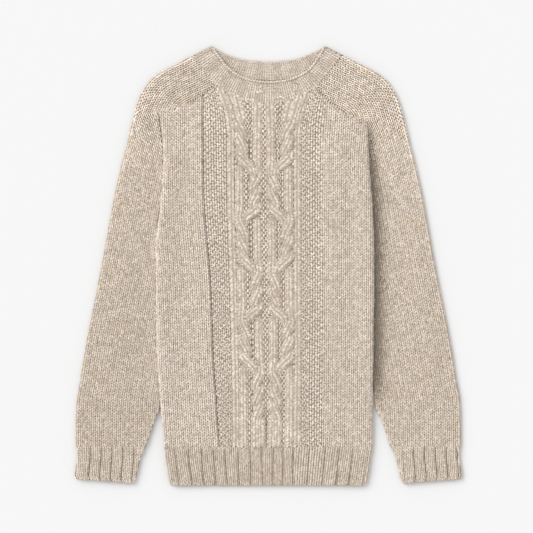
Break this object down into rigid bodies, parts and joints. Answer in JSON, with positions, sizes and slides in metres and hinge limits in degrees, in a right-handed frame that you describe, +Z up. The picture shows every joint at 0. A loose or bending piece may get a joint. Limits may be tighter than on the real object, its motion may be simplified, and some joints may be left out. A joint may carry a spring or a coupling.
{
  "type": "cable knit sweater",
  "caption": "Long-sleeved raglan pullover in thick oatmeal wool with cabled front, moss panels, ribbed hem, cuffs and neckband, laid flat with its sleeves beside the body.",
  "frame": {"origin": "on the surface that the sweater lies on, under the middle of its box", "axes": "+Y from the hem towards the neck, +X towards the wearer's left sleeve, +Z up off the surface, out of the front"},
  "size_m": [0.6186, 0.7014, 0.014],
  "materials": {
    "plain_wool": "matte heathered wool, plain, moss and cable knitting",
    "rib_wool": "matte heathered wool, ribbed knitting"
  },
  "bodies": {
    "root": {"front": "plain_wool", "hem_front": "rib_wool", "back": "plain_wool", "hem_back": "rib_wool", "sleeve_right": "plain_wool", "sleeve_left": "plain_wool", "cuff_right": "rib_wool", "cuff_left": "rib_wool", "neckband": "rib_wool"}
  },
  "joints": []
}
